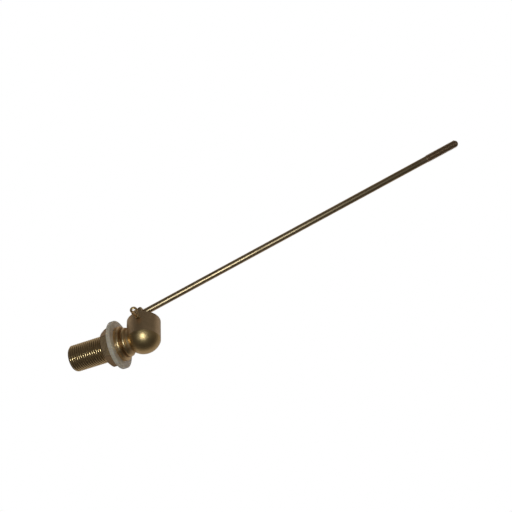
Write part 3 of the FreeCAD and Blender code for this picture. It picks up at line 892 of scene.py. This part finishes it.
def drawn_brass():
    """Drawn rod: long faint scratches and brown oxide patches, duller on the outer thread."""
    n = Nodes("drawn_brass")
    lines = n.noise(n.coords((0.04, 6.0, 6.0), -DROOP), 1.0, 3.0, 0.6)
    patches = n.noise(n.coords((0.05, 0.5, 0.5), -DROOP), 1.0, 4.0, 0.6)
    tone = n.ramp(patches, [(0.3, (0.40, 0.275, 0.15)), (0.72, (0.74, 0.54, 0.31))])
    tone = n.mix(n.ranged(lines, 0.5, 0.8, 0.0, 0.4), tone, (0.90, 0.67, 0.39))
    thread_start = float(PIVOT @ ROD_AXIS) + ROD_OUTER_THREAD_START
    along_rod = n.along(-DROOP)["X"]
    on_thread = n.ranged(along_rod, thread_start - 8, thread_start + 3, 0.0, 1.0)
    tone = n.mix(n.math("MULTIPLY", on_thread, 0.6), tone, (0.42, 0.29, 0.20))
    rough = n.ranged(patches, 0.3, 0.7, 0.42, 0.34)
    rough = n.math("ADD", rough, n.math("MULTIPLY", on_thread, 0.13))
    return n.surface(tone, rough, n.bump(lines, 0.01), metallic=1.0)


def satin_brass(name, dark, light, roughness):
    """Plain machined or cast brass with mottled tarnish."""
    n = Nodes(name)
    spot = n.coords()
    patches = n.noise(spot, 0.6, 4.0, 0.6)
    fine = n.noise(spot, 4.0, 2.0)
    tone = n.ramp(patches, [(0.3, dark), (0.72, light)])
    rough = n.ranged(patches, 0.3, 0.7, roughness, roughness + 0.1)
    return n.surface(tone, rough, n.bump(fine, 0.02), metallic=1.0)


def washer_plastic():
    """Milky nylon-like plastic with faint clouding and scuffs."""
    n = Nodes("milky_plastic")
    spot = n.coords()
    clouds = n.noise(spot, 0.25, 4.0, 0.6)
    scuffs = n.noise(spot, 2.5, 3.0, 0.7)
    tone = n.ramp(clouds, [(0.3, (0.76, 0.61, 0.45)), (0.7, (0.97, 0.82, 0.63))])
    n.feed(n.shader.inputs["Transmission Weight"], 0.2)
    n.feed(n.shader.inputs["Subsurface Weight"], 0.5)
    n.feed(n.shader.inputs["Subsurface Radius"], (1.0, 0.9, 0.7))
    n.feed(n.shader.inputs["Subsurface Scale"], 2.5 * MM)
    return n.surface(tone, n.ranged(scuffs, 0.3, 0.7, 0.28, 0.5), n.bump(scuffs, 0.02))


def moulded(name, dark, light, roughness):
    """Moulded plastic or rubber with a slight texture."""
    n = Nodes(name)
    spot = n.coords()
    clouds = n.noise(spot, 0.8, 3.0)
    fine = n.noise(spot, 6.0, 2.0)
    tone = n.ramp(clouds, [(0.3, dark), (0.7, light)])
    rough = n.ranged(fine, 0.3, 0.7, roughness, roughness + 0.15)
    return n.surface(tone, rough, n.bump(fine, 0.02))


# ---------------------------------------------------------------- stage
# places, distances and sizes are in millimetres here too
CAMERA_PLACE = Vector((272.4, 426.5, 385.8))
CAMERA_RIGHT = Vector((0.9330, -0.3484, 0.0900))
CAMERA_UP = Vector((0.3053, 0.6339, -0.7106))
CAMERA_LENS = 56.25
KEY_DIRECTION = Vector((0.251, 0.756, 0.604))
KEY_COLOUR = (0.86, 1.0, 1.08)
KEY_DISTANCE = 420
KEY_SIZE = 120
KEY_POWER = 0.62
ROOM_BASE = 0.042
ROOM_ABOVE = 0.088
ROOM_BEHIND = 0.40
ABOVE_WAY = CAMERA_UP * 0.8 + CAMERA_RIGHT * 0.5
BEHIND_SIDE = CAMERA_RIGHT * -0.15 - CAMERA_UP * 0.20
FLOOR_HALF = 3000
FLOOR_CENTRE_X = 160
FLOOR_GAP = 1.0


def make_camera():
    """Camera at the photograph's viewing angle, which turns the dome to the frame's bottom.

    Returns the direction from the object back to the camera.
    """
    data = bpy.data.cameras.new("camera")
    data.lens = CAMERA_LENS
    data.sensor_width = 36.0
    data.clip_start = 0.01
    data.clip_end = 20.0
    obj = bpy.data.objects.new("camera", data)
    bpy.context.scene.collection.objects.link(obj)
    right = CAMERA_RIGHT.normalized()
    back = right.cross(CAMERA_UP).normalized()
    up = back.cross(right)
    turn = Matrix((right, up, back)).transposed().to_4x4()
    obj.matrix_world = Matrix.Translation(CAMERA_PLACE * MM) @ turn
    bpy.context.scene.camera = obj
    return back


def toward(tree, place, way, start, end, top):
    """Light level that rises from 0 to top as directions turn towards a way."""
    facing = tree.nodes.new("ShaderNodeVectorMath")
    facing.operation = "DOT_PRODUCT"
    tree.links.new(place, facing.inputs[0])
    facing.inputs[1].default_value = way.normalized()
    rise = tree.nodes.new("ShaderNodeMapRange")
    rise.interpolation_type = "SMOOTHSTEP"
    rise.inputs["From Min"].default_value = start
    rise.inputs["From Max"].default_value = end
    rise.inputs["To Max"].default_value = top
    tree.links.new(facing.outputs["Value"], rise.inputs["Value"])
    return rise.outputs["Result"]


def make_world(back):
    """White for the camera. Reflections see a dim room, lighter above and behind the object."""
    world = bpy.data.worlds.new("studio")
    bpy.context.scene.world = world
    world.use_nodes = True
    tree = world.node_tree
    tree.nodes.clear()
    output = tree.nodes.new("ShaderNodeOutputWorld")
    place = tree.nodes.new("ShaderNodeTexCoord").outputs["Generated"]
    above = tree.nodes.new("ShaderNodeMath")
    above.operation = "ADD"
    above.inputs[1].default_value = ROOM_BASE
    rise = toward(tree, place, ABOVE_WAY, 0.2, 0.95, ROOM_ABOVE)
    tree.links.new(rise, above.inputs[0])
    level = tree.nodes.new("ShaderNodeMath")
    level.operation = "ADD"
    behind = toward(tree, place, BEHIND_SIDE - back, -0.05, 0.6, ROOM_BEHIND)
    tree.links.new(behind, level.inputs[0])
    tree.links.new(above.outputs[0], level.inputs[1])
    rays = tree.nodes.new("ShaderNodeLightPath")
    surround = tree.nodes.new("ShaderNodeBackground")
    surround.inputs["Color"].default_value = (1.0, 0.97, 0.93, 1)
    tree.links.new(level.outputs[0], surround.inputs["Strength"])
    plain = tree.nodes.new("ShaderNodeBackground")
    plain.inputs["Color"].default_value = (1, 1, 1, 1)
    plain.inputs["Strength"].default_value = 1.0
    choose = tree.nodes.new("ShaderNodeMixShader")
    tree.links.new(rays.outputs["Is Camera Ray"], choose.inputs["Fac"])
    tree.links.new(surround.outputs["Background"], choose.inputs[1])
    tree.links.new(plain.outputs["Background"], choose.inputs[2])
    tree.links.new(choose.outputs["Shader"], output.inputs["Surface"])


def make_key_light():
    """A soft round light that shines at the bell."""
    data = bpy.data.lights.new("key", "AREA")
    data.shape = "DISK"
    data.size = KEY_SIZE * MM
    data.energy = KEY_POWER
    data.color = KEY_COLOUR
    obj = bpy.data.objects.new("key", data)
    bpy.context.scene.collection.objects.link(obj)
    target = Vector((BELL_X * MM, 0, 0))
    way = KEY_DIRECTION.normalized()
    obj.location = target + way * (KEY_DISTANCE * MM)
    obj.rotation_mode = "QUATERNION"
    obj.rotation_quaternion = way.to_track_quat("Z", "Y")
    obj.visible_camera = False


def make_floor():
    """Pale floor, low enough for the rod's end when the lever hangs at its lower limit."""
    # the lowest corner of the rod's tip at rest, seen from the pivot
    tip_x = cad_box[1].x - PIVOT[0] * MM
    tip_z = cad_box[0].z - PIVOT[2] * MM
    drop = math.atan2(-tip_z, tip_x) - math.radians(JOINTS["lever_pivot"]["range_deg"][0])
    low = PIVOT[2] * MM - math.hypot(tip_x, tip_z) * math.sin(drop) - FLOOR_GAP * MM
    middle, half = FLOOR_CENTRE_X * MM, FLOOR_HALF * MM
    corners = [(-half, -half), (half, -half), (half, half), (-half, half)]
    points = [(middle + x, y, low) for x, y in corners]
    mesh = bpy.data.meshes.new("floor")
    mesh.from_pydata(points, [], [(0, 1, 2, 3)])
    obj = bpy.data.objects.new("floor", mesh)
    bpy.context.scene.collection.objects.link(obj)
    n = Nodes("floor_white")
    glow = n.add("ShaderNodeEmission")
    n.link(glow.outputs["Emission"], n.output.inputs["Surface"])
    mesh.materials.append(n.material)
    # reflections on the object see the room and not this bright floor
    obj.visible_glossy = False
    obj.visible_diffuse = False


# ---------------------------------------------------------------- assembly
def finish_piece(obj, node, body, material):
    """Gives a piece its material and its body, and hides the CAD node it stands for."""
    obj.data.materials.clear()
    obj.data.materials.append(material)
    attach(obj, body)
    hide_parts(node)


def paint_flange_and_neck(obj, material):
    """Gives a second material to every face of the casting that isn't on or in the bell."""
    obj.data.materials.append(material)
    slack = 0.04
    for face in obj.data.polygons:
        centre = face.center / MM
        from_axis = math.hypot(centre.x - BELL_X, centre.y)
        if centre.z < DOME_EDGE_Z:
            on_bell = from_axis < BELL_RADIUS + slack
        else:
            on_bell = math.hypot(from_axis, centre.z - DOME_CENTRE_Z) < DOME_RADIUS + slack
        face.material_index = 0 if on_bell else 1


def build():
    """Makes every piece and puts the materials on them."""
    casting = make_bell_body()
    finish_piece(casting, "valve_body", "valve", blasted_brass())
    paint_flange_and_neck(casting, turned_brass())
    finish_piece(make_tail(), "valve_body", "valve", thread_brass())
    finish_piece(make_backnut(), "backnut", "nut", rough_brass())
    finish_piece(make_washer(), "tank_washer", "washer", washer_plastic())
    lever_brass = satin_brass("lever_brass", (0.48, 0.34, 0.18), (0.68, 0.49, 0.28), 0.42)
    finish_piece(make_lever(), "lever", "lever_arm", lever_brass)
    finish_piece(make_lock_nut(), "lock_nut", "lever_arm", lever_brass)
    finish_piece(make_rod(), "float_rod", "lever_arm", drawn_brass())
    pin_brass = satin_brass("pin_brass", (0.62, 0.41, 0.19), (0.86, 0.60, 0.30), 0.40)
    finish_piece(make_split_pin(), "split_pin", "valve", pin_brass)
    # the hidden nozzle, seal and disc keep their CAD shapes
    nozzle = moulded("nozzle_plastic", (0.70, 0.69, 0.64), (0.82, 0.81, 0.77), 0.35)
    rubber = moulded("black_rubber", (0.02, 0.02, 0.02), (0.05, 0.05, 0.05), 0.6)
    for node, material in (("seat_nozzle", nozzle), ("nozzle_seal", rubber), ("seat_disc", rubber)):
        cad = frame["nodes"][node]
        cad.data.materials.clear()
        cad.data.materials.append(material)


build()
camera_back = make_camera()
make_world(camera_back)
make_key_light()
make_floor()
bpy.context.scene.view_settings.view_transform = "Standard"
